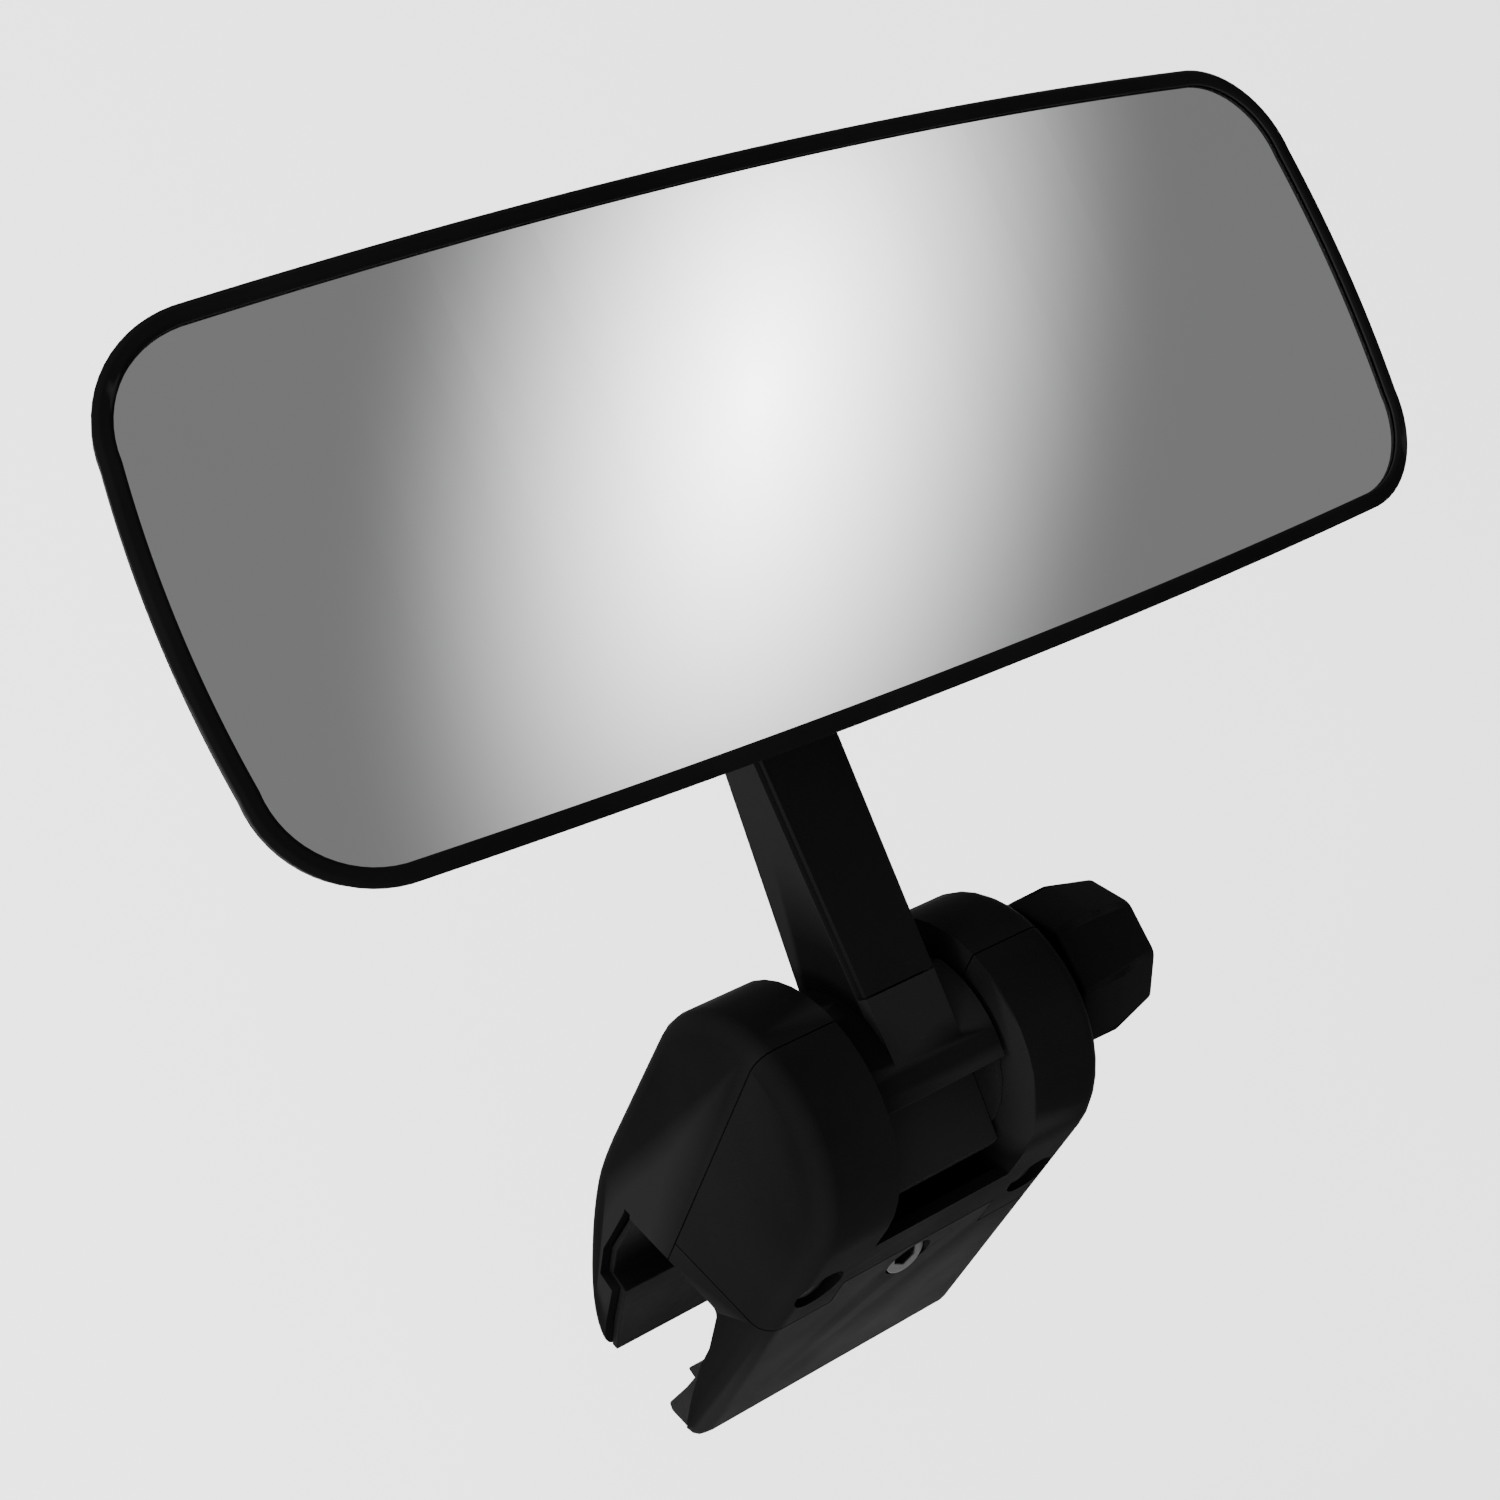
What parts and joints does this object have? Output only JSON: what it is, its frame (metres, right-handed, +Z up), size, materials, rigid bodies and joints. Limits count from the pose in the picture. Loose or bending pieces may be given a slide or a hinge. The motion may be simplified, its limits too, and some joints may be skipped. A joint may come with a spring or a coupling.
{
  "type": "rearview mirror",
  "caption": "Convex rearview mirror on a ball joint and tilting arm, with a knob-locked pivot and a screw clamp that grips a windscreen frame.",
  "frame": {"origin": "middle of the clamp channel's ceiling, which sits on the edge of the frame that carries the mirror", "axes": "+X along the channel and the pivot, towards the knob; +Y rearward, away from the face of the glass; +Z up"},
  "size_m": [0.2068, 0.0889, 0.2028],
  "materials": {
    "black_plastic": "fine-textured moulded black plastic",
    "pad_rubber": "matt black rubber",
    "dark_steel": "blackened steel",
    "bright_steel": "zinc-plated steel",
    "brass": "turned brass",
    "natural_acetal": "natural acetal",
    "foam": "closed-cell foam tape",
    "mirror_glass": "silvered convex glass"
  },
  "bodies": {
    "clamp": {"rear_shell": "black_plastic", "bracket_cover": "black_plastic", "rear_jaw_pad": "pad_rubber", "cover_screw_left": "dark_steel", "cover_screw_right": "dark_steel", "screw_insert_left": "brass", "screw_insert_right": "brass", "clamp_nut": "bright_steel", "pivot_bolt": "bright_steel"},
    "jaw": {"front_jaw": "black_plastic", "front_jaw_pad": "pad_rubber"},
    "jaw_screw": {"clamp_screw": "dark_steel"},
    "arm": {"arm_shell": "black_plastic", "arm_cover": "black_plastic", "arm_screw_lower": "dark_steel", "arm_screw_upper": "dark_steel", "friction_washer_left": "black_plastic", "friction_washer_right": "black_plastic", "ball_stud": "bright_steel", "stud_nut": "bright_steel", "stud_cap": "black_plastic"},
    "knob_carrier": {"knob_washer": "dark_steel"},
    "knob_grip": {"knob": "black_plastic", "knob_insert": "brass"},
    "head_seat": {"ball_cup": "natural_acetal"},
    "head_cup": {"pressure_cup": "natural_acetal"},
    "head": {"wave_spring": "bright_steel", "retaining_ring": "black_plastic", "ring_screw_1": "dark_steel", "ring_screw_2": "dark_steel", "ring_screw_3": "dark_steel", "mirror_housing": "black_plastic", "glass_carrier": "natural_acetal", "foam_pad": "foam", "mirror_glass": "mirror_glass", "bezel": "black_plastic"}
  },
  "joints": [
    {"name": "arm_tilt", "type": "hinge", "parent": "clamp", "child": "arm", "pos_m": [0, -0.0109, 0.0338], "axis": [1, 0, 0], "range_deg": [-38, 75]},
    {"name": "head_tilt", "type": "hinge", "parent": "arm", "child": "head_seat", "pos_m": [0, 0.02478, 0.12419], "axis": [1, 0, 0], "range_deg": [-15, 15]},
    {"name": "head_pan", "type": "hinge", "parent": "head_seat", "child": "head_cup", "pos_m": [0, 0.02478, 0.12419], "axis": [0, 0.7325, 0.6807], "range_deg": [-15, 15]},
    {"name": "head_roll", "type": "hinge", "parent": "head_cup", "child": "head", "pos_m": [0, 0.02478, 0.12419], "axis": [0, -0.6807, 0.7325], "range_deg": [-15, 15]},
    {"name": "knob_turn", "type": "hinge", "parent": "knob_carrier", "child": "knob_grip", "pos_m": [0.038, -0.0109, 0.0338], "axis": [1, 0, 0], "range_deg": [0, 1080]},
    {"name": "knob_travel", "type": "slide", "parent": "clamp", "child": "knob_carrier", "axis": [1, 0, 0], "range_m": [0, 0.0037]},
    {"name": "clamp_screw_turn", "type": "hinge", "parent": "jaw", "child": "jaw_screw", "pos_m": [0, -0.02, 0.006], "axis": [0, -1, 0], "range_deg": [0, 2250]},
    {"name": "jaw_travel", "type": "slide", "parent": "clamp", "child": "jaw", "axis": [0, -1, 0], "range_m": [0, 0.0049]}
  ],
  "couplings": [
    {"joint": "knob_turn", "follows": "knob_travel", "rad_per_m": 5026.5},
    {"joint": "clamp_screw_turn", "follows": "jaw_travel", "rad_per_m": 7854}
  ]
}
